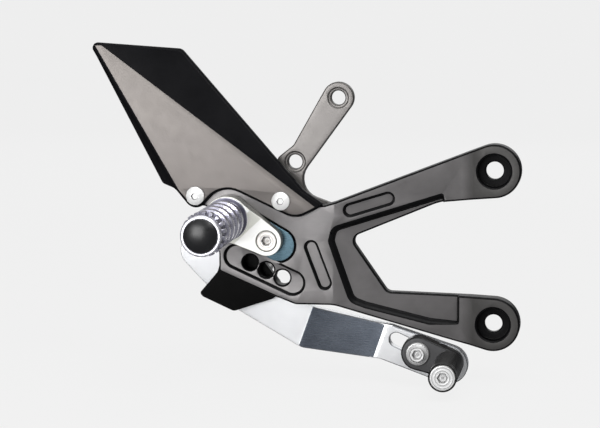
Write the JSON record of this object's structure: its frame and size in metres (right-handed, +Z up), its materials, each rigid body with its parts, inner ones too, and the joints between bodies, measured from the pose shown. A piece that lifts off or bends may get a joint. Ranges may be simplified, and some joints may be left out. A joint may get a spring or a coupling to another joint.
{
  "type": "rear set footrest",
  "caption": "Right-hand motorbike rear set: forked base plate with a heel guard, a studded foot peg on a sliding mount and a sprung brake pedal with a toe peg.",
  "frame": {"origin": "midway between the two frame bolts, on the base plate's mounting face", "axes": "+X forward on the bike, +Z up, +Y inboard towards the frame, so the foot peg points along -Y"},
  "size_m": [0.2543, 0.1409, 0.2018],
  "materials": {
    "plate": "satin anodised",
    "guard": "satin anodised",
    "bracket": "bead blasted",
    "slider": "anodised",
    "machined": "fine machined",
    "peg": "anodised, turned",
    "cap": "gloss black",
    "carrier": "gloss black anodised",
    "pedal": "bright satin",
    "toe_black": "black anodised",
    "bright_steel": "bright turned",
    "dark_steel": "plain",
    "spring_steel": "drawn wire",
    "bronze": "sintered bronze"
  },
  "bodies": {
    "base": {"base_plate": "plate", "heel_guard": "guard", "heel_guard_screws": "bright_steel", "cylinder_bracket": "bracket", "cylinder_bracket_screws": "bright_steel", "peg_slider": "slider", "peg_mount": "machined", "peg_mount_bolt": "bright_steel", "peg_mount_nut": "dark_steel", "foot_peg": "peg", "peg_bolt": "dark_steel", "peg_end_cap": "cap", "pedal_carrier": "carrier", "pedal_carrier_screws": "dark_steel", "pedal_stop": "bright_steel", "pivot_shaft": "bright_steel", "pivot_washer": "bright_steel", "pivot_screw": "bright_steel", "return_spring": "spring_steel"},
    "pedal": {"brake_pedal": "pedal", "pivot_bushes": "bronze", "toe_holder_screw": "bright_steel", "toe_holder_nut": "dark_steel"},
    "toe": {"toe_holder": "toe_black", "toe_peg": "toe_black", "toe_peg_screw": "bright_steel"}
  },
  "joints": [
    {"name": "pedal_pivot", "type": "hinge", "parent": "base", "child": "pedal", "pos_m": [-0.1576, -0.0027, -0.0245], "axis": [0, 1, 0], "range_deg": [0, 12], "stiffness_Nm_per_rad": 0.6, "springref_deg": -34.38, "deforming": ["return_spring"]},
    {"name": "toe_holder_turn", "type": "hinge", "parent": "pedal", "child": "toe", "pos_m": [-0.04289, -0.0273, -0.06084], "axis": [0, 1, 0], "range_deg": [-40, 40]}
  ]
}
